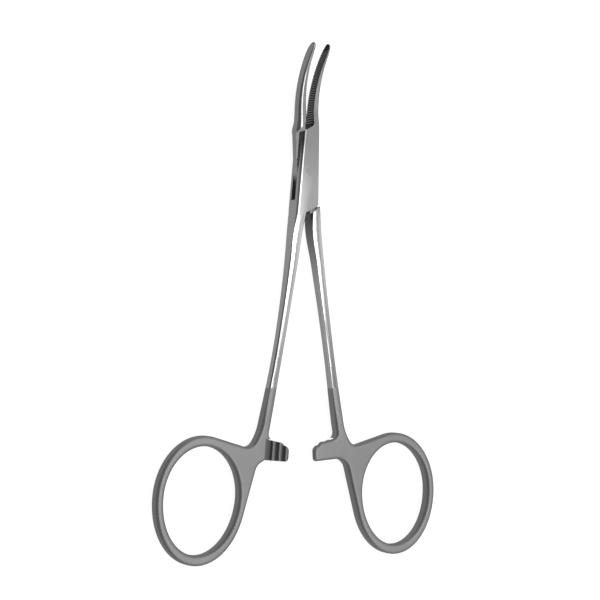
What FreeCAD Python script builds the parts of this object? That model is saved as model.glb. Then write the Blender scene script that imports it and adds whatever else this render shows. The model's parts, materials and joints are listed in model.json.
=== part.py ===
import FreeCAD, Part
import math
import os

V = FreeCAD.Vector

# Curved haemostat with a box lock, in millimetres.
# The halves are drawn with the jaws closed, the pivot axis at X = Y = 0 and the tips towards +Y.
# Then each half is turned about the pivot to the opening at which the instrument lies.

# Motion
rest_opening = 7.0

# Jaws: a straight root, then a bend towards +Z
jaw_tip_y = 29.9
jaw_straight = 14.8
jaw_bend_radius = 21.0
jaw_root_width = 2.00
jaw_mid_width = 1.95
jaw_neck_width = 0.65
jaw_tip_width = 0.50
jaw_mid_height = 2.95
jaw_neck_height = 2.30
jaw_tip_height = 0.70
jaw_gap = 0.04
jaw_blend_length = 4.2
jaw_nose_length = 3.2
jaw_roundness = 0.45

# Serrations across the jaws' flat inner faces
tooth_pitch = 0.58
tooth_depth = 0.22
tooth_crest = 0.12
tooth_tip_margin = 0.9

# Box: two walls with a slot between them, whose ends are cut on the slant
box_height = 4.50
box_jaw_left = 2.55
box_shank_left = 2.86
box_corner_right = 3.42
box_jaw_end = 10.9
box_shank_end = 9.9
box_end_angle = 33.0
box_corner_radius = 0.75
box_ledge = 0.02

# Slot and tongue
slot_height = 1.84
slot_side_clearance = 0.15
slot_wall_y = 10.0
slot_wall_angle = 45.0
tongue_face_clearance = 0.05
tongue_left = 2.80
tongue_right = 2.45
tongue_edge_radius = 1.20
tongue_jaw_width = 2.80
tongue_root_height = 3.40
tongue_foot_height = 4.40
shoulder_clearance = 0.35
jaw_shoulder_angle = 45.0
jaw_shoulder_y = 12.0

# Pivot pin, set in both walls of the box
pin_diameter = 2.40
pin_running_clearance = 0.03

# Shanks: root beside the box, waist, foot at the ring
root_y = -14.0
waist_y = -45.0
foot_y = -60.5
root_centre = 1.69
root_lean = 0.075
foot_centre = 6.45
root_width = 2.52
waist_width = 1.70
foot_width = 2.35
root_height = 3.86
waist_height = 2.60
shank_bow = 0.55
shank_crown = 0.16
shank_edge_radius = 0.18
crotch_x = 0.15
crotch_gap = 0.25

# Finger rings
ring_centre_x = 22.1
ring_centre_y = -79.35
box_ring_tilt = 3.0
tongue_ring_tilt = -1.2
ring_hole_width = 19.4
ring_hole_length = 25.1
ring_egg = 0.6
ring_side_wire = 1.95
ring_end_wire = 2.40
ring_thickness = 3.15
ring_edge_radius = 0.85
ring_lift = 0.40

# Web between shank and ring, and the ratchet arm
arm_overlap = 1.15
arm_root_y = -64.4
arm_bend_x = 1.0
arm_bend_y = -65.15
arm_tip_y = -66.6
arm_low_y = -69.6
arm_tip_radius = 1.0
arm_root_radius = 1.6
web_inner_x = 7.9
web_inner_y = -69.4
web_inner_radius = 3.2
web_notch_x = 10.1
web_notch_y = -66.85
web_notch_radius = 2.4
web_bend_y = -63.0
web_bend_radius = 12.0

# Ratchet teeth, saw shaped, cut towards the middle plane
ratchet_teeth = 3
ratchet_pitch = 1.86
ratchet_depth = 0.75
ratchet_steep = 0.30
ratchet_first = 3.55
ratchet_root = 6.6
ratchet_gap = 0.10

# Largest share of a straight edge that the arcs at its ends may take
arc_share = 0.95

tiny = 0.01


def polygon_prism(points, low, high):
    """A prism over the closed polygon, from low to high."""
    wire = Part.makePolygon([V(x, y, low) for x, y in points + points[:1]])
    return Part.Face(wire).extrude(V(0, 0, high - low))


def section(origin, across, up, near, far, half, near_radius, far_radius, crown):
    """A closed section of eight edges: two sides, four round corners, crowned top and bottom."""

    def at(u, v):
        return origin + across * u + up * v

    def corner(u, v, radius, way_u, way_v):
        # The quarter circle from the side to the top or bottom
        mid = radius * (1 - math.sqrt(0.5))
        first = at(u, v - way_v * radius)
        last = at(u + way_u * radius, v)
        return first, at(u + way_u * mid, v - way_v * mid), last

    side = half - crown
    top_near = corner(near, side, near_radius, 1, 1)
    top_far = corner(far, side, far_radius, -1, 1)
    low_near = corner(near, -side, near_radius, 1, -1)
    low_far = corner(far, -side, far_radius, -1, -1)
    middle = (near + near_radius + far - far_radius) / 2
    edges = [Part.makeLine(low_near[0], top_near[0])]
    edges.append(Part.Arc(*top_near).toShape())
    if crown > 0:
        edges.append(Part.Arc(top_near[2], at(middle, half), top_far[2]).toShape())
    else:
        edges.append(Part.makeLine(top_near[2], top_far[2]))
    edges.append(Part.Arc(top_far[2], top_far[1], top_far[0]).toShape())
    edges.append(Part.makeLine(top_far[0], low_far[0]))
    edges.append(Part.Arc(*low_far).toShape())
    if crown > 0:
        edges.append(Part.Arc(low_far[2], at(middle, -half), low_near[2]).toShape())
    else:
        edges.append(Part.makeLine(low_far[2], low_near[2]))
    edges.append(Part.Arc(low_near[2], low_near[1], low_near[0]).toShape())
    return Part.Wire(edges)


def blend(start, end, share):
    """A smooth step from start to end."""
    share = min(max(share, 0.0), 1.0)
    return start + (end - start) * share * share * (3 - 2 * share)


def mirrored(shape):
    return shape.mirror(V(0, 0, 0), V(1, 0, 0))


def jaw_point(length):
    """Point and direction of the jaw's middle line, at a length along it from the pivot."""
    bend = max(length - jaw_straight, 0.0) / jaw_bend_radius
    y = min(length, jaw_straight) + jaw_bend_radius * math.sin(bend)
    z = jaw_bend_radius * (1 - math.cos(bend))
    return V(0, y, z), V(0, math.cos(bend), math.sin(bend))


def jaw_length():
    """Length of the jaw's middle line from the pivot to the tip."""
    return jaw_straight + jaw_bend_radius * math.asin((jaw_tip_y - jaw_straight) / jaw_bend_radius)


def nose_share(length):
    """How much of the section is left in the rounded nose, from 1 to 0 at the tip."""
    nose = max(0.0, length - (jaw_length() - jaw_nose_length)) / jaw_nose_length
    return math.sqrt(max(0.0, 1 - nose * nose))


def jaw_height(length, root_height):
    if length < jaw_straight:
        return blend(root_height, jaw_mid_height, 1 - (jaw_straight - length) / jaw_blend_length)
    share = (length - jaw_straight) / (jaw_length() - jaw_straight)
    height = jaw_mid_height + (jaw_neck_height - jaw_mid_height) * share
    return jaw_tip_height + (height - jaw_tip_height) * nose_share(length)


def jaw_width(length):
    share = (length - jaw_straight) / (jaw_length() - jaw_straight)
    width = jaw_mid_width + (jaw_neck_width - jaw_mid_width) * share
    return jaw_tip_width + (width - jaw_tip_width) * nose_share(length)


def jaw(start, root_height, width_at_start, radius_at_start):
    """The right-hand jaw, a tapering bar of D-shaped section on the bent middle line."""
    end = jaw_length()
    lengths = [start, (start + jaw_straight) / 2, jaw_straight]
    bend_stations = 6
    for i in range(1, bend_stations):
        lengths.append(jaw_straight + (end - jaw_nose_length - jaw_straight) * i / bend_stations)
    for share in (0.0, 0.4, 0.7, 0.88, 0.97, 1.0):
        lengths.append(end - jaw_nose_length * (1 - share))
    wires = []
    for length in lengths:
        point, ahead = jaw_point(length)
        up = V(1, 0, 0).cross(ahead)
        half = jaw_height(length, root_height) / 2
        if length < jaw_straight:
            share = (length - start) / (jaw_straight - start)
            width = width_at_start + (jaw_mid_width - width_at_start) * share
        else:
            share = 1.0
            width = jaw_width(length)
        outer = blend(radius_at_start, jaw_roundness * width, share)
        outer = min(outer, 0.85 * half)
        wires.append(section(point, V(1, 0, 0), up, jaw_gap / 2, width, half, 0.08, outer, 0))
    return Part.makeLoft(wires, True, False)


def serrations(first):
    """The grooves across a jaw's inner face, from the length first to the tip."""
    run = jaw_length() - tooth_tip_margin - first
    count = int(run / tooth_pitch)
    mouth = tooth_pitch - tooth_crest
    reach = jaw_mid_height
    grooves = []
    for i in range(count):
        point, ahead = jaw_point(first + (i + 0.5) * tooth_pitch)
        up = V(1, 0, 0).cross(ahead)
        base = point - up * reach
        slope = tooth_depth / (mouth / 2)
        side = mouth / 2 + tiny / slope
        face = V(jaw_gap / 2 - tiny, 0, 0)
        corners = [base + face - ahead * side, base + face + ahead * side,
                   base + V(jaw_gap / 2 + tooth_depth, 0, 0)]
        wire = Part.makePolygon(corners + corners[:1])
        grooves.append(Part.Face(wire).extrude(up * (2 * reach)))
    return Part.makeCompound(grooves)


def box_bar():
    """The outside of the box, before its ends and slot are cut: a tapered bar with rounded long edges."""
    outline = [(box_corner_right, -box_shank_end), (jaw_root_width, box_jaw_end),
               (-box_jaw_left, box_jaw_end), (-box_shank_left, -box_shank_end)]
    bar = polygon_prism(outline, -box_height / 2, box_height / 2)
    long_edges = [edge for edge in bar.Edges if edge.BoundBox.ZLength < tiny and edge.BoundBox.YLength > tiny]
    return bar.makeFillet(box_corner_radius, long_edges)


def shank_outer(y):
    """Outer edge of a shank beside the box."""
    share = (y + box_shank_end) / (root_y + box_shank_end)
    return box_shank_left + (root_centre + root_width / 2 - box_shank_left) * share


def shank_centre(y):
    """Middle line of a shank: it leaves the box at a lean and bends outwards to its foot."""
    run = root_y - y
    length = root_y - foot_y
    bend = (foot_centre - root_centre - root_lean * length) / length ** 2
    return root_centre + root_lean * run + bend * run ** 2


def shank_middle(y):
    """Point of a shank's middle line, which is bowed towards +Z and ends at the ring's level."""
    share = (root_y - y) / (root_y - foot_y)
    return V(shank_centre(y), y, ring_lift * share + shank_bow * math.sin(math.pi * share))


def shank_direction(y):
    step = 0.5
    ahead = V(shank_centre(y - step) - shank_centre(y + step), -2 * step, 0)
    return ahead.normalize()


def shank_foot():
    """Middle of the shank's foot, its direction and the direction across it."""
    ahead = shank_direction(foot_y)
    return V(shank_centre(foot_y), foot_y, 0), ahead, V(0, 0, 1).cross(ahead)


def shank(start, start_height, inner_start, ledge):
    """The right-hand shank, from the height start beside the box down to its foot."""
    wires = []
    root_inner = root_centre - root_width / 2
    for share in (0.0, 0.5):
        y = start + (root_y - start) * share
        half = blend(start_height, root_height, share) / 2
        near = inner_start + (root_inner - inner_start) * share
        radius = blend(box_corner_radius, shank_edge_radius, share)
        far = shank_outer(y) - ledge * (1 - share)
        wires.append(section(V(0, y, 0), V(1, 0, 0), V(0, 0, 1), near, far, half,
                             radius, radius, blend(0.0, shank_crown, share)))
    upper_stations = 5
    for i in range(upper_stations + 1):
        y = root_y + (waist_y - root_y) * i / upper_stations
        share = (y - waist_y) / (root_y - waist_y)
        width = waist_width + (root_width - waist_width) * share ** 2
        height = waist_height + (root_height - waist_height) * share ** 2
        across = V(0, 0, 1).cross(shank_direction(y))
        wires.append(section(shank_middle(y), across, V(0, 0, 1), -width / 2, width / 2,
                             height / 2, shank_edge_radius, shank_edge_radius, shank_crown))
    lower_stations = 4
    for i in range(1, lower_stations + 1):
        share = i / lower_stations
        y = waist_y + (foot_y - waist_y) * share
        width = waist_width + (foot_width - waist_width) * share ** 2
        height = waist_height + (ring_thickness - waist_height) * share ** 2
        radius = shank_edge_radius + (ring_edge_radius - shank_edge_radius) * share ** 4
        across = V(0, 0, 1).cross(shank_direction(y))
        wires.append(section(shank_middle(y), across, V(0, 0, 1), -width / 2, width / 2,
                             height / 2, radius, radius, shank_crown * (1 - share ** 4)))
    return Part.makeLoft(wires, True, False)


class RingCurve:
    """The ring's egg-shaped curve at a distance from its hole: two half ellipses on one tilted short axis.

    Its long axis leans towards the middle line at the top, and it is widest above its middle.
    """

    def __init__(self, side_wire, end_wire, ring_tilt):
        tilt = math.radians(ring_tilt)
        self.long_axis = V(-math.sin(tilt), math.cos(tilt), 0)
        self.short_axis = V(math.cos(tilt), math.sin(tilt), 0)
        self.centre = V(ring_centre_x, ring_centre_y, 0) + self.long_axis * ring_egg
        self.half_width = ring_hole_width / 2 + side_wire
        self.upper = ring_hole_length / 2 + end_wire - ring_egg
        self.lower = ring_hole_length / 2 + end_wire + ring_egg

    def ellipse(self, half_length):
        return Part.Ellipse(self.centre + self.long_axis * half_length,
                            self.centre - self.short_axis * self.half_width, self.centre)

    def touch(self, point, half_length, turn):
        """Where the line from point touches one of the ellipses, on the side given by turn."""
        away = point - self.centre
        u = away.dot(self.short_axis) / self.half_width
        v = away.dot(self.long_axis) / half_length
        angle = math.atan2(v, u) + turn * math.acos(1 / math.hypot(u, v))
        # The ellipse starts at the end of its long axis, a quarter turn past its short one
        return (angle - math.pi / 2) % (2 * math.pi)

    def edges(self, first, last):
        """From the angle first on the lower ellipse, round the ring's far side, to last on the upper one."""
        lower = self.ellipse(self.lower).toShape(first, 3 * math.pi / 2)
        upper = self.ellipse(self.upper).toShape(3 * math.pi / 2, last + 2 * math.pi)
        return [lower, upper]


def rounded_path(points, radii):
    """Edges along the points, with an arc at each inner point, as large as given or as its edges hold."""
    turns = []
    cuts = [0]
    for i in range(1, len(points) - 1):
        back = (points[i - 1] - points[i]).normalize()
        on = (points[i + 1] - points[i]).normalize()
        turns.append((back, on))
        cuts.append(radii[i - 1] / math.tan(back.getAngle(on) / 2))
    cuts.append(0)
    fits = []
    for i in range(len(points) - 1):
        room = (points[i + 1] - points[i]).Length * arc_share
        fits.append(min(1, room / (cuts[i] + cuts[i + 1])))
    edges = []
    start = points[0]
    for i in range(1, len(points) - 1):
        corner = points[i]
        back, on = turns[i - 1]
        fit = min(fits[i - 1], fits[i])
        radius = radii[i - 1] * fit
        first = corner + back * (cuts[i] * fit)
        last = corner + on * (cuts[i] * fit)
        middle = corner + (back + on).normalize() * (radius / math.sin(back.getAngle(on) / 2) - radius)
        edges.append(Part.makeLine(start, first))
        edges.append(Part.Arc(first, middle, last).toShape())
        start = last
    edges.append(Part.makeLine(start, points[-1]))
    return edges


def handle_blank(ring_tilt):
    """Web, ratchet arm and finger ring of the right-hand handle, as one rounded plate."""
    foot, ahead, across = shank_foot()
    inner_foot = foot - across * (foot_width / 2)
    outer_foot = foot + across * (foot_width / 2)
    arm_root = inner_foot + ahead * ((inner_foot.y - arm_root_y) / -ahead.y)
    web_corner = V(web_inner_x, web_inner_y, 0)
    notch = V(web_notch_x, web_notch_y, 0)
    bend = outer_foot + ahead * ((outer_foot.y - web_bend_y) / -ahead.y)
    outside = RingCurve(ring_side_wire, ring_end_wire, ring_tilt)
    low_angle = outside.touch(web_corner, outside.lower, 1)
    top_angle = outside.touch(notch, outside.upper, -1)
    low_touch = outside.ellipse(outside.lower).value(low_angle)
    top_touch = outside.ellipse(outside.upper).value(top_angle)
    inner = rounded_path([inner_foot, arm_root, V(arm_bend_x, arm_bend_y, 0), V(-arm_overlap, arm_tip_y, 0),
                          V(-arm_overlap, arm_low_y, 0), web_corner, low_touch],
                         [arm_root_radius, arm_tip_radius, arm_tip_radius, arm_tip_radius, web_inner_radius])
    outer = rounded_path([top_touch, notch, bend, outer_foot], [web_notch_radius, web_bend_radius])
    edges = inner + outside.edges(low_angle, top_angle) + outer + [Part.makeLine(outer_foot, inner_foot)]
    plate = Part.Face(Part.Wire(Part.__sortEdges__(edges))).extrude(V(0, 0, ring_thickness))
    inside = RingCurve(0, 0, ring_tilt)
    hole = Part.Face(Part.Wire(inside.edges(math.pi / 2, math.pi / 2)))
    plate = plate.cut(hole.extrude(V(0, 0, ring_thickness)))
    plate.translate(V(0, 0, ring_lift - ring_thickness / 2))
    rims = []
    for edge in plate.Edges:
        box = edge.BoundBox
        flat = box.ZLength < tiny and abs(abs(box.ZMax - ring_lift) - ring_thickness / 2) < tiny
        middle = (inner_foot + outer_foot) * 0.5
        on_seam = (edge.CenterOfMass - V(middle.x, middle.y, edge.CenterOfMass.z)).Length < tiny
        if flat and not on_seam:
            rims.append(edge)
    return plate.makeFillet(ring_edge_radius, rims)


def ratchet_cutter(sign):
    """What is cut from the arm: the half towards +Z and the saw teeth, for sign 1, or towards -Z for -1."""
    crest = -ratchet_gap / 2
    top = ring_thickness
    end = -arm_overlap - 1
    outline = [(ratchet_root, top), (ratchet_root, crest - ratchet_depth / 2)]
    for i in range(ratchet_teeth):
        x = ratchet_first - i * ratchet_pitch
        outline.append((x + ratchet_steep, crest - ratchet_depth))
        outline.append((x, crest))
    outline.append((end, crest - ratchet_depth * (x - end) / (ratchet_pitch - ratchet_steep)))
    outline.append((end, top))
    low = arm_low_y - 2
    high = arm_root_y
    wire = Part.makePolygon([V(x, low, ring_lift + sign * z) for x, z in outline + outline[:1]])
    return Part.Face(wire).extrude(V(0, high - low, 0))


def slanted(angle, x, y):
    """Height of the slanting line that crosses X = 0 at y."""
    return y + x * math.tan(math.radians(angle))


def pin_cylinder(radius):
    return Part.makeCylinder(radius, box_height, V(0, 0, -box_height / 2))


def make_box_half():
    wide = box_shank_left + box_corner_right
    tall = box_height
    bar = box_bar()
    # The wall ends: the tongue half's jaw and shank leave the box along these slants
    jaw_side = [(-wide, slanted(box_end_angle, -wide, box_jaw_end)),
                (jaw_gap / 2, slanted(box_end_angle, jaw_gap / 2, box_jaw_end)),
                (jaw_gap / 2, 2 * box_jaw_end), (-wide, 2 * box_jaw_end)]
    shank_side = [(2 * wide, slanted(box_end_angle, 2 * wide, -box_shank_end)),
                  (crotch_x, slanted(box_end_angle, crotch_x, -box_shank_end)),
                  (crotch_x, -2 * box_shank_end), (2 * wide, -2 * box_shank_end)]
    body = bar.cut(polygon_prism(jaw_side, -tall, tall)).cut(polygon_prism(shank_side, -tall, tall))
    # Jaw and shank stand a hair inside the box's ends all round
    root_width = jaw_root_width - box_ledge
    body = body.fuse(jaw(box_jaw_end, box_height - 2 * box_ledge, root_width, box_corner_radius))
    left_shank = shank(-box_shank_end, box_height - 2 * box_ledge, -crotch_x, box_ledge)
    left_shank = left_shank.fuse(handle_blank(box_ring_tilt))
    body = body.fuse(mirrored(left_shank.cut(ratchet_cutter(1))))
    # The slot is open on the left above and on the right below
    far = 3 * wide
    slot = [(jaw_gap / 2, slot_wall_y), (-tiny, slot_wall_y),
            (-tiny, 2 * box_jaw_end), (-far, 2 * box_jaw_end),
            (-far, far - slot_wall_y), (0, -slot_wall_y), (far, -slot_wall_y), (far, slot_wall_y - far)]
    body = body.cut(polygon_prism(slot, -slot_height / 2, slot_height / 2))
    body = body.cut(pin_cylinder(pin_diameter / 2))
    return body.cut(serrations(box_jaw_end + tooth_pitch / 2))


def make_tongue_half():
    wide = box_shank_left + box_corner_right
    tall = box_height
    # Jaw and shank at full height, cut off along their shoulders
    jaw_bar = mirrored(jaw(box_jaw_end - 2.5, tongue_root_height, tongue_jaw_width, tongue_edge_radius))
    below_jaw = [(-wide, slanted(jaw_shoulder_angle, -wide, jaw_shoulder_y)),
                 (wide, slanted(jaw_shoulder_angle, wide, jaw_shoulder_y)), (wide, 0), (-wide, 0)]
    jaw_bar = jaw_bar.cut(polygon_prism(below_jaw, -tall, tall))
    lift = shoulder_clearance / math.cos(math.radians(box_end_angle))
    above_shank = [(-wide, slanted(box_end_angle, -wide, -box_shank_end - lift)),
                   (wide, slanted(box_end_angle, wide, -box_shank_end - lift)), (wide, 0), (-wide, 0)]
    right_shank = shank(-box_shank_end + 2.5, tongue_foot_height, crotch_x + crotch_gap, 0)
    right_shank = right_shank.fuse(handle_blank(tongue_ring_tilt)).cut(ratchet_cutter(-1))
    shank_bar = right_shank.cut(polygon_prism(above_shank, -tall, tall))
    return jaw_bar, shank_bar


def tongue_plate():
    """The thin middle of the tongue half, in the box's slot."""
    half = slot_height / 2 - tongue_face_clearance
    back = slot_side_clearance / math.cos(math.radians(slot_wall_angle))
    top = slot_wall_y - back
    jaw_left = jaw_shoulder_y - tongue_left
    shank_right = slanted(box_end_angle, tongue_right, -box_shank_end)
    inner = -jaw_gap / 2 - tongue_face_clearance
    outline = [(inner, top - inner), (tongue_right, top - tongue_right), (tongue_right, shank_right),
               (tongue_right, shank_right - 1.5), (crotch_x + crotch_gap + 0.6, -top - 1.4),
               (crotch_x + crotch_gap, -top - 0.6), (crotch_x + crotch_gap, -top + crotch_x + crotch_gap),
               (-tongue_left, tongue_left - top), (-tongue_left, jaw_left),
               (-tongue_left + 0.5, jaw_left + 1.2), (inner, jaw_shoulder_y + 0.5)]
    return polygon_prism(outline, -half, half)


def make_all():
    jaw_bar, shank_bar = make_tongue_half()
    tongue_half = jaw_bar.fuse([tongue_plate(), shank_bar])
    tongue_half = tongue_half.cut(pin_cylinder(pin_diameter / 2 + pin_running_clearance))
    tongue_half = tongue_half.cut(mirrored(serrations(jaw_shoulder_y + tooth_pitch)))
    box_half = make_box_half()
    box_half.rotate(V(0, 0, 0), V(0, 0, 1), -rest_opening / 2)
    tongue_half.rotate(V(0, 0, 0), V(0, 0, 1), rest_opening / 2)
    return {"box_half": box_half, "tongue_half": tongue_half, "pivot_pin": pin_cylinder(pin_diameter / 2)}


os.makedirs("parts", exist_ok=True)
shapes = make_all()
whole = Part.makeCompound(list(shapes.values())).optimalBoundingBox(False, False)
shift = V(-(whole.XMin + whole.XMax) / 2, -(whole.YMin + whole.YMax) / 2, -whole.ZMin)
for name, shape in shapes.items():
    shape.translate(shift)
    print(name, "solids", len(shape.Solids), "valid", shape.isValid(), "volume", round(shape.Volume, 2))
    shape.exportStep("parts/" + name + ".step")
print("pivot axis at", round(shift.x, 3), round(shift.y, 3), "middle plane at", round(shift.z, 3))
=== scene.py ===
import json
import math

import bpy
from mathutils import Matrix, Vector

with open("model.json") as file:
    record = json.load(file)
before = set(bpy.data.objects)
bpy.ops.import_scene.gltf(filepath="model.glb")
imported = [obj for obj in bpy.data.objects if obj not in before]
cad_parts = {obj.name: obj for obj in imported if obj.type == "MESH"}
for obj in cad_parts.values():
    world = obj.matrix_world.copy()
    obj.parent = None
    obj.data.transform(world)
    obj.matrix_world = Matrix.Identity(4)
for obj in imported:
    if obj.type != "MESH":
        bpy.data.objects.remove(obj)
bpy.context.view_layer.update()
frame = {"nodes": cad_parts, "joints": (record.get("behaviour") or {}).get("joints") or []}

# Camera, in metres in the part's frame
CAMERA_PLACE = (-0.19398, -0.00941, 0.32509)
CAMERA_TARGET = (-0.00174, 0.00039, 0.00388)
CAMERA_ROLL = 1.13
CAMERA_LENS = 94.26
CAMERA_CLIP = 0.01
SENSOR_WIDTH = 36.0

# Light of the studio: (degrees from the zenith towards +X, brightness), from straight down and back to it
STUDIO_LIGHT = [(-180, 0.40), (-118, 0.40), (-98, 0.22), (-60, 0.12), (-26, 0.14), (-10, 0.9),
                (22, 0.75), (36, 0.50), (54, 0.85), (72, 0.60), (96, 0.20), (120, 0.30), (180, 0.40)]

# Key light: its lean from the zenith towards +X in degrees, its distance and size, and its radiance
KEY_LEAN = 8
KEY_DISTANCE = 1.0
KEY_WIDTH = 0.50
KEY_LENGTH = 1.3
KEY_LIGHT = 1.9

# Floor: half its side, how far it lies below the part, and how it gives back light and gives off its own
FLOOR_HALF = 5.0
FLOOR_DROP = 0.00002
FLOOR_GREY = 0.25
FLOOR_ROUGHNESS = 0.9
FLOOR_GLOW = 0.92

# The pivot, and each half's turn from closed in degrees
PIVOT = tuple(frame["joints"][0]["pos_m"])
REST_TURN = 3.5

# Below, "along" is the way in Y from the pivot and "aside" the way in X, in metres. A pair (none, full) says
# where something starts and where it is complete. DARK is the share of the tone that is taken away.

# Tones of the polish and the satin, how much clouds and specks vary them, and where the satin starts, in Y
POLISHED_TONE = 0.62
SATIN_TONE = 0.29
CLOUD_VARY = 0.10
SPECK_VARY = 0.12
SATIN_START = (-0.0204, -0.0208)
SATIN_RAGGED = 0.0004
# Painted light: how much lighter the satin is painted where it faces sideways
SATIN_SIDE_PAINTED_LIGHT = 0.5

# The polish gets a little darker towards the tips, in Y
TIP_PLACE = (0.028, 0.038)
TIP_LOSS = 0.15

# Scales of the noises, and how the polish's lines are stretched lengthwise
RAGGED_SCALE = 2500
LINE_SCALE = 9000
LINE_STRETCH = 0.03
GRAIN_SCALE = 7000
GRAIN_DETAIL = 2.0
CLOUD_SCALE = 90

# Serrated faces: where they start and end along the jaw, how far from the middle line their crests and
# bottoms lie, and their tones: painted shade in the grooves and a painted highlight along the crests
JAW_START = (0.0112, 0.0115)
JAW_END = (0.0287, 0.0283)
SERRATION_CREST = 0.00001
SERRATION_BOTTOM = 0.00025
SERRATION_REACH = 0.00026
CREST_SHARPNESS = 5.0
CREST_HIGHLIGHT_GAIN = 0.52
GROOVE_SHADE_TONE = 0.018

# Crevices: how far away other steel counts, the open share from dark to bright, and the tone that is left
CREVICE_REACH = 0.001
CREVICE_SAMPLES = 8
CREVICE_OPEN = (0.25, 0.45)
CREVICE_TONE = 0.10

# Roughness of polish and satin, and what lines and grain add to it
POLISHED_ROUGHNESS = 0.10
LINE_ROUGHNESS = 0.10
SATIN_ROUGHNESS = 0.47
GRAIN_ROUGHNESS = 0.14

# Relief: radius of the broken edges, depth of the grain, and the lines' share of that depth
EDGE_RADIUS = 0.00008
EDGE_SAMPLES = 4
RELIEF_DEPTH = 0.000004
RELIEF_STRENGTH = 0.5
LINE_RELIEF = 0.15

# Shoulder of the right shank: a point of the box's lower edge (aside, along), that edge's slope in degrees,
# and the painted shade's tone by distance beyond it
SHOULDER = (-0.00081, -0.01015)
SHOULDER_SLOPE = 34.9
SHOULDER_SHADE_TONE = [(-0.0001, 1.0), (0.0, 0.30), (0.00022, 0.30), (0.00036, 0.75), (0.00052, 0.75),
                 (0.00064, 0.25), (0.00080, 0.30), (0.00095, 1.0)]

# Inner side of the right shank: its facing in X, its upper end, and how the painted shade fades in upwards
INNER_FACING = (-0.6, -0.8)
INNER_TOP = -0.009
INNER_RISE = (-0.0273, -0.0113)
INNER_SHADE_DARK = 0.8

# Slot of the box: how it darkens downwards from the pivot, and its lower end
SLOT_FALL = (-0.0005, -0.0025)
SLOT_END = -0.0095
SLOT_DARK = 0.88

# Foot of the right jaw's inner side, where shade is painted: its lower end, its right end aside, and the
# limits of its facing
FOOT_START = 0.0092
FOOT_RIGHT = 0.0012
FOOT_FACING_X = 0.3
FOOT_FACING_Z = 0.8
FOOT_SHADE_DARK = 0.9

# Left edge of the box: its upper end, how the painted shade on it rises upwards, and the limits of its facing
BOX_TOP = 0.0113
EDGE_SHADE_RISE = (0.003, 0.007)
EDGE_SHADE_FACING_X = -0.15
EDGE_SHADE_FACING_Z = 0.25
EDGE_SHADE_DARK = 0.65

# Left shank's front edge just below the box: a point of it (aside, along), its lean in degrees, and the
# width, length and strength of the painted highlight there
SHANK_EDGE = (-0.0046, -0.0122)
SHANK_LEAN = 10.5
HIGHLIGHT_WIDTH = 0.0036
HIGHLIGHT_LENGTH = 0.014
HIGHLIGHT_GAIN = 1.1

# Polished shanks: their upper end along, and the facing of their fronts in Z and of their left sides in X
SHANK_TOP = -0.0125
FRONT_FACING = 0.7
SIDE_FACING = -0.55

# Painted reflection on the fronts of the shanks, by place along: the facing in X up to which they are painted
# as mirroring the key light in full (LIT), and the painted tone beyond it where they would still see that
# light (DIM) and where they wouldn't (FAR)
LEFT_LIT = [(-0.0519, -0.26), (-0.0458, -0.28), (-0.0411, -0.29), (-0.0365, -0.24), (-0.0318, -0.15),
            (-0.0271, -0.08), (-0.0224, 0.12), (-0.0178, 0.5)]
RIGHT_LIT = [(-0.0519, -0.29), (-0.0458, -0.31), (-0.0411, -0.33), (-0.0365, -0.34), (-0.0318, -0.27),
             (-0.0271, -0.20), (-0.0224, -0.13), (-0.0178, -0.15), (-0.0112, -0.10)]
LEFT_DIM = [(-0.0519, 0.24), (-0.0458, 0.23), (-0.0365, 0.40), (-0.0271, 0.55), (-0.0112, 0.60)]
RIGHT_DIM = [(-0.0519, 0.17), (-0.0458, 0.19), (-0.0365, 0.33), (-0.0271, 0.50), (-0.0112, 0.55)]
LEFT_FAR = [(-0.0519, 0.70), (-0.0458, 0.75), (-0.0365, 1.0)]
RIGHT_FAR = [(-0.0519, 0.58), (-0.0458, 0.62), (-0.0365, 0.77), (-0.0271, 1.0)]
LIT_FADE = 0.05
FAR_FACING = (-0.12, 0.0)

# Strip of the shanks' left sides next to the front, with painted shade and painted highlight: its height in
# Z, and its tone by place along
STRIP_RISE = (0.0035, 0.0037)
LEFT_STRIP = [(-0.0519, 0.16), (-0.0458, 0.20), (-0.0365, 0.40), (-0.0178, 0.56), (-0.0125, 0.90)]
RIGHT_STRIP = [(-0.0519, 1.30), (-0.0318, 1.36), (-0.0224, 1.0), (-0.0178, 0.80), (-0.0125, 0.90)]

# Ratchet teeth of the left arm: their place (X from, Y up to), height in Z, facing in Z, and the tones of
# their painted highlight and shade
ARM_LEFT = -0.0115
ARM_TOP = -0.0315
TOOTH_RISE = (0.00186, 0.00260)
TOOTH_TOP = 0.00263
TOOTH_FACING = 0.1
TOOTH_CURVE = 1.8
TOOTH_HIGHLIGHT_GAIN = 0.38
TOOTH_SHADE_TONE = 0.14


def add_camera():
    """The camera at the photograph's viewing angle, with +Y upwards in the image."""
    data = bpy.data.cameras.new("camera")
    data.lens = CAMERA_LENS
    data.sensor_width = SENSOR_WIDTH
    data.clip_start = CAMERA_CLIP
    camera = bpy.data.objects.new("camera", data)
    bpy.context.scene.collection.objects.link(camera)
    place = Vector(CAMERA_PLACE)
    back = (place - Vector(CAMERA_TARGET)).normalized()
    right = Vector((0, 1, 0)).cross(back).normalized()
    up = back.cross(right)
    roll = math.radians(CAMERA_ROLL)
    rolled_right = right * math.cos(roll) + up * math.sin(roll)
    rolled_up = up * math.cos(roll) - right * math.sin(roll)
    pose = Matrix((rolled_right, rolled_up, back)).transposed().to_4x4()
    pose.translation = place
    camera.matrix_world = pose
    bpy.context.scene.camera = camera


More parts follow.
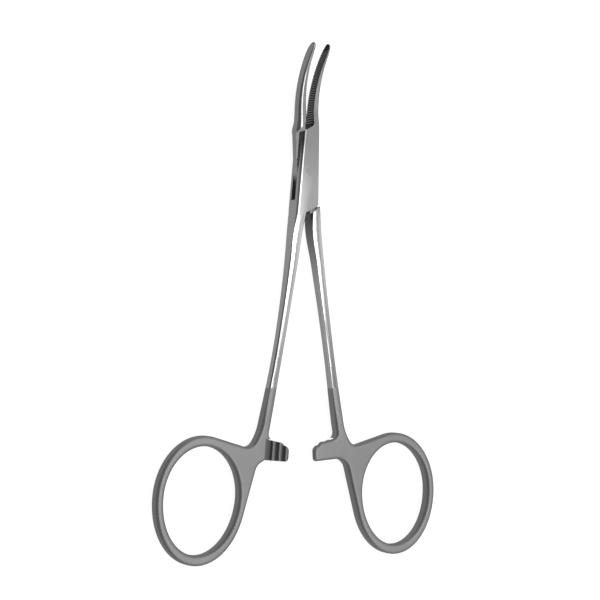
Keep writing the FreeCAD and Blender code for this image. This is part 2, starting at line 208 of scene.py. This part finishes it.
def add_key_light():
    """A rectangular soft light that leans from the zenith towards +X."""
    data = bpy.data.lights.new("key_softbox", "AREA")
    data.shape = "RECTANGLE"
    data.size = KEY_WIDTH
    data.size_y = KEY_LENGTH
    data.energy = KEY_LIGHT * math.pi * KEY_WIDTH * KEY_LENGTH
    light = bpy.data.objects.new("key_softbox", data)
    bpy.context.scene.collection.objects.link(light)
    lean = math.radians(KEY_LEAN)
    light.location = (KEY_DISTANCE * math.sin(lean), 0, KEY_DISTANCE * math.cos(lean))
    light.rotation_euler = (0, lean, 0)


def add_world():
    """The studio round the object, as light by direction: dark at the left horizon, brighter to the right."""
    world = bpy.data.worlds.new("studio")
    bpy.context.scene.world = world
    world.use_nodes = True
    g = Graph(world.node_tree)
    direction = g.split(g.node("ShaderNodeTexCoord").outputs["Generated"])
    from_zenith = g.times(g.math("ARCTAN2", direction["X"], direction["Z"]), math.degrees(1))
    light = g.ramp(from_zenith, STUDIO_LIGHT, interpolation="EASE")
    g.link(light, world.node_tree.nodes["Background"].inputs["Color"])


def add_floor():
    """A plain pale floor that the steel doesn't mirror."""
    mesh = bpy.data.meshes.new("floor")
    corners = [(x * FLOOR_HALF, y * FLOOR_HALF, 0) for x, y in ((-1, -1), (1, -1), (1, 1), (-1, 1))]
    mesh.from_pydata(corners, [], [(0, 1, 2, 3)])
    floor = bpy.data.objects.new("floor", mesh)
    bpy.context.scene.collection.objects.link(floor)
    floor.location.z = -FLOOR_DROP
    floor.visible_glossy = False
    material = bpy.data.materials.new("floor_white")
    material.use_nodes = True
    shader = material.node_tree.nodes["Principled BSDF"]
    shader.inputs["Base Color"].default_value = (FLOOR_GREY, FLOOR_GREY, FLOOR_GREY, 1)
    shader.inputs["Roughness"].default_value = FLOOR_ROUGHNESS
    shader.inputs["Specular IOR Level"].default_value = 0.0
    shader.inputs["Emission Color"].default_value = (1, 1, 1, 1)
    shader.inputs["Emission Strength"].default_value = FLOOR_GLOW
    mesh.materials.append(material)


def set_view():
    """Colours are shown as they are."""
    view = bpy.context.scene.view_settings
    view.view_transform = "Standard"
    view.look = "None"
    view.exposure = 0
    view.gamma = 1


class Graph:
    """Short calls for building a node tree."""

    def __init__(self, tree):
        self.tree = tree

    def node(self, kind, **settings):
        made = self.tree.nodes.new(kind)
        for key, value in settings.items():
            setattr(made, key, value)
        return made

    def link(self, source, target):
        self.tree.links.new(source, target)

    def feed(self, target, value):
        """Sets a socket to a number, or links it to another socket."""
        if isinstance(value, (int, float)):
            target.default_value = value
        else:
            self.link(value, target)

    def math(self, operation, a, b=0.0, clamp=False):
        made = self.node("ShaderNodeMath", operation=operation, use_clamp=clamp)
        self.feed(made.inputs[0], a)
        self.feed(made.inputs[1], b)
        return made.outputs[0]

    def plus(self, a, b):
        return self.math("ADD", a, b)

    def minus(self, a, b):
        return self.math("SUBTRACT", a, b)

    def times(self, first, *others):
        product = first
        for other in others:
            product = self.math("MULTIPLY", product, other)
        return product

    def less(self, a, b):
        """1 where a is less than b."""
        return self.math("LESS_THAN", a, b)

    def more(self, a, b):
        """1 where a is more than b."""
        return self.math("GREATER_THAN", a, b)

    def share(self, value, none, full):
        """0 up to none, 1 from full on, in proportion between them."""
        return self.math("DIVIDE", self.minus(value, none), full - none, clamp=True)

    def rest(self, share):
        return self.minus(1.0, share)

    def split(self, vector):
        made = self.node("ShaderNodeSeparateXYZ")
        self.link(vector, made.inputs[0])
        return made.outputs

    def turned(self, x, y, degrees):
        """The first coordinate of (x, y) in axes that are turned by the degrees."""
        turn = math.radians(degrees)
        return self.plus(self.times(x, math.cos(turn)), self.times(y, math.sin(turn)))

    def blend(self, share, a, b):
        """Number a where share is 0, b where it is 1."""
        made = self.node("ShaderNodeMix", data_type="FLOAT")
        self.feed(made.inputs[0], share)
        self.feed(made.inputs[2], a)
        self.feed(made.inputs[3], b)
        return made.outputs[0]

    def ramp(self, value, stops, low=0.0, high=1.0, interpolation="LINEAR"):
        """The number for the value, between stops of (value, number), with numbers from low to high."""
        first, last = stops[0][0], stops[-1][0]
        made = self.node("ShaderNodeValToRGB")
        made.color_ramp.interpolation = interpolation
        elements = made.color_ramp.elements
        for at, _ in stops[1:-1]:
            elements.new((at - first) / (last - first))
        for element, (_, number) in zip(elements, stops):
            grey = (number - low) / (high - low)
            element.color = (grey, grey, grey, 1)
        self.link(self.math("DIVIDE", self.minus(value, first), last - first), made.inputs["Fac"])
        if (low, high) == (0.0, 1.0):
            return made.outputs["Color"]
        return self.plus(self.times(made.outputs["Color"], high - low), low)

    def noise(self, place, stretch, scale, detail=3.0):
        """Noise at the place, squeezed along each axis by stretch; values round 0.5."""
        mapping = self.node("ShaderNodeMapping")
        mapping.inputs["Scale"].default_value = stretch
        self.link(place, mapping.inputs["Vector"])
        made = self.node("ShaderNodeTexNoise")
        made.inputs["Scale"].default_value = scale
        made.inputs["Detail"].default_value = detail
        self.link(mapping.outputs[0], made.inputs["Vector"])
        return made.outputs["Fac"]


class SteelGraph(Graph):
    """A steel's node tree, with each point's place in the part and the way that its surface faces."""

    def __init__(self, tree):
        super().__init__(tree)
        coordinates = self.node("ShaderNodeTexCoord")
        self.place = coordinates.outputs["Object"]
        at = self.split(self.place)
        facing = self.split(coordinates.outputs["Normal"])
        self.x = at["X"]
        self.y = at["Y"]
        self.z = at["Z"]
        self.facing_x = facing["X"]
        self.facing_z = facing["Z"]
        self.aside = self.minus(self.x, PIVOT[0])
        self.along = self.minus(self.y, PIVOT[1])


def strip_shade(g, strip):
    """Painted shade and painted highlight: the polished shanks' left sides are darker or lighter next to the
    front.
    """
    side = g.times(g.less(g.facing_x, SIDE_FACING), g.less(g.along, SHANK_TOP))
    near = g.share(g.z, *STRIP_RISE)
    return g.blend(g.times(near, side), 1.0, g.ramp(g.along, strip, 0.0, 2.0))


def front_shade(g, lit, dim, far):
    """Painted reflection on the polished shanks' fronts: a bright band on the left that narrows downwards,
    and painted shade beside it.
    """
    past = g.share(g.minus(g.facing_x, g.ramp(g.along, lit, -1.0, 1.0)), 0.0, LIT_FADE)
    beside = g.blend(g.share(g.facing_x, *FAR_FACING), g.ramp(g.along, dim), g.ramp(g.along, far))
    front = g.times(g.more(g.facing_z, FRONT_FACING), g.less(g.along, SHANK_TOP))
    return g.blend(g.times(past, front), 1.0, beside)


def shoulder_shade(g):
    """Painted shade: dark lines where the right shank meets the box."""
    beyond = g.turned(g.minus(g.aside, SHOULDER[0]), g.minus(g.along, SHOULDER[1]), SHOULDER_SLOPE - 90)
    return g.ramp(beyond, SHOULDER_SHADE_TONE)


def inner_shade(g):
    """Painted shade: the right shank's inner side is darker below the crotch."""
    inner = g.times(g.share(g.facing_x, *INNER_FACING), g.less(g.along, INNER_TOP))
    return g.rest(g.times(inner, g.share(g.along, *INNER_RISE), INNER_SHADE_DARK))


def slot_shade(g):
    """The tongue's edge inside the box's slot, where hardly any light gets in."""
    inside = g.times(g.less(g.aside, 0.0), g.more(g.along, SLOT_END))
    return g.rest(g.times(g.share(g.along, *SLOT_FALL), inside, SLOT_DARK))


def foot_shade(g):
    """Painted shade: the foot of the right jaw's inner side is darkened where the jaw's root meets the box.
    """
    place = g.times(g.more(g.along, FOOT_START), g.less(g.along, BOX_TOP), g.less(g.aside, FOOT_RIGHT))
    facing = g.times(g.less(g.facing_x, FOOT_FACING_X), g.less(g.facing_z, FOOT_FACING_Z))
    return g.rest(g.times(place, facing, FOOT_SHADE_DARK))


def edge_shade(g):
    """Painted shade: the upper part of the box's left edge is darkened, taking away its highlight."""
    upper = g.times(g.share(g.along, *EDGE_SHADE_RISE), g.less(g.along, BOX_TOP))
    rounded = g.times(g.less(g.facing_x, EDGE_SHADE_FACING_X), g.more(g.facing_z, EDGE_SHADE_FACING_Z))
    return g.rest(g.times(upper, rounded, EDGE_SHADE_DARK))


def crotch_highlight(g):
    """Painted highlight: the left shank's front is brighter along its left edge just below the box."""
    below = g.minus(g.along, SHANK_EDGE[1])
    across = g.turned(g.minus(g.aside, SHANK_EDGE[0]), below, -SHANK_LEAN)
    left = g.share(g.math("ABSOLUTE", across), HIGHLIGHT_WIDTH, 0.0)
    near = g.share(g.math("ABSOLUTE", below), HIGHLIGHT_LENGTH, 0.0)
    return g.times(left, near, g.more(g.facing_z, FRONT_FACING), HIGHLIGHT_GAIN)


def teeth_painted_light(g, tone):
    """Painted highlight and shade on the ratchet teeth: bright along their crests and dark at their bottoms.
    """
    height = g.share(g.z, *TOOTH_RISE)
    painted_tooth_tone = g.plus(g.times(g.math("POWER", height, TOOTH_CURVE), TOOTH_HIGHLIGHT_GAIN), TOOTH_SHADE_TONE)
    on_arm = g.times(g.less(g.y, ARM_TOP), g.more(g.x, ARM_LEFT))
    return g.blend(g.times(on_arm, g.less(g.z, TOOTH_TOP), g.more(g.facing_z, TOOTH_FACING)), tone, painted_tooth_tone)


def steel(name, turn):
    """Stainless steel: polished with faint lengthwise lines above, bead blasted satin below.

    Turn is the half's angle at rest, in degrees from the closed forceps, so that the serrated
    faces can be found beside the middle line. It is negative for the half with the left shank
    and 0 for the pin.
    """
    material = bpy.data.materials.new(name)
    material.use_nodes = True
    shader = material.node_tree.nodes["Principled BSDF"]
    g = SteelGraph(material.node_tree)

    ragged = g.times(g.minus(g.noise(g.place, (1, 1, 1), RAGGED_SCALE), 0.5), SATIN_RAGGED)
    lines = g.noise(g.place, (1, LINE_STRETCH, 1), LINE_SCALE)
    grain = g.noise(g.place, (1, 1, 1), GRAIN_SCALE, GRAIN_DETAIL)
    cloud = g.noise(g.place, (1, 1, 1), CLOUD_SCALE)
    satin = g.share(g.plus(g.y, ragged), *SATIN_START)
    vary = g.times(g.minus(cloud, 0.5), CLOUD_VARY)
    speck = g.times(g.minus(grain, 0.5), SPECK_VARY)

    # The polish, with the painted reflection bands and painted shade of the shanks
    polished_tone = g.minus(g.plus(vary, POLISHED_TONE), g.times(g.share(g.y, *TIP_PLACE), TIP_LOSS))
    if turn < 0:
        front = front_shade(g, LEFT_LIT, LEFT_DIM, LEFT_FAR)
        polished_tone = g.times(polished_tone, front, strip_shade(g, LEFT_STRIP))
    if turn > 0:
        front = front_shade(g, RIGHT_LIT, RIGHT_DIM, RIGHT_FAR)
        polished_tone = g.times(polished_tone, front, strip_shade(g, RIGHT_STRIP))

    # The satin is darker, with painted light that makes it a little lighter where it faces sideways
    upright = g.rest(g.math("ABSOLUTE", g.facing_z))
    side_painted_light = g.plus(g.times(upright, SATIN_SIDE_PAINTED_LIGHT), 1.0)
    satin_tone = g.times(g.plus(g.plus(vary, speck), SATIN_TONE), side_painted_light)

    # Painted shade on the serrations, darkest at their bottoms, with a painted highlight along their crests
    from_middle = g.math("ABSOLUTE", g.turned(g.aside, g.along, turn))
    crest = g.math("POWER", g.share(from_middle, SERRATION_BOTTOM, SERRATION_CREST), CREST_SHARPNESS)
    serration_shade_and_highlight = g.plus(g.times(crest, g.share(g.along, *JAW_END), CREST_HIGHLIGHT_GAIN), GROOVE_SHADE_TONE)
    serrated = g.times(g.share(g.along, *JAW_START), g.less(from_middle, SERRATION_REACH))
    bright = g.blend(serrated, g.blend(satin, polished_tone, satin_tone), serration_shade_and_highlight)

    # Darker where little light gets in, such as the box's gaps and the bottoms of the teeth
    crevice = g.node("ShaderNodeAmbientOcclusion", samples=CREVICE_SAMPLES)
    crevice.inputs["Distance"].default_value = CREVICE_REACH
    tone = g.times(bright, g.blend(g.share(crevice.outputs["AO"], *CREVICE_OPEN), CREVICE_TONE, 1.0))
    if turn < 0:
        tone = g.times(tone, foot_shade(g), edge_shade(g))
        tone = teeth_painted_light(g, g.math("ADD", tone, crotch_highlight(g), clamp=True))
    if turn > 0:
        tone = g.times(tone, shoulder_shade(g), inner_shade(g), slot_shade(g))
    g.link(tone, shader.inputs["Base Color"])

    polished_rough = g.plus(g.times(lines, LINE_ROUGHNESS), POLISHED_ROUGHNESS)
    satin_rough = g.plus(g.times(grain, GRAIN_ROUGHNESS), SATIN_ROUGHNESS)
    g.link(g.blend(satin, polished_rough, satin_rough), shader.inputs["Roughness"])
    shader.inputs["Metallic"].default_value = 1.0

    # Relief: fine lines on the polish, fine grain on the satin, and edges broken by a small radius
    edge = g.node("ShaderNodeBevel", samples=EDGE_SAMPLES)
    edge.inputs["Radius"].default_value = EDGE_RADIUS
    bump = g.node("ShaderNodeBump")
    bump.inputs["Distance"].default_value = RELIEF_DEPTH
    bump.inputs["Strength"].default_value = RELIEF_STRENGTH
    g.link(g.blend(satin, g.times(lines, LINE_RELIEF), grain), bump.inputs["Height"])
    g.link(edge.outputs[0], bump.inputs["Normal"])
    g.link(bump.outputs[0], shader.inputs["Normal"])
    return material


def dress(node, material):
    """Gives a CAD node its material."""
    slots = frame["nodes"][node].data.materials
    slots.clear()
    slots.append(material)


add_camera()
add_world()
add_key_light()
add_floor()
set_view()
dress("box_half", steel("box_steel", -REST_TURN))
dress("tongue_half", steel("tongue_steel", REST_TURN))
dress("pivot_pin", steel("pin_steel", 0.0))
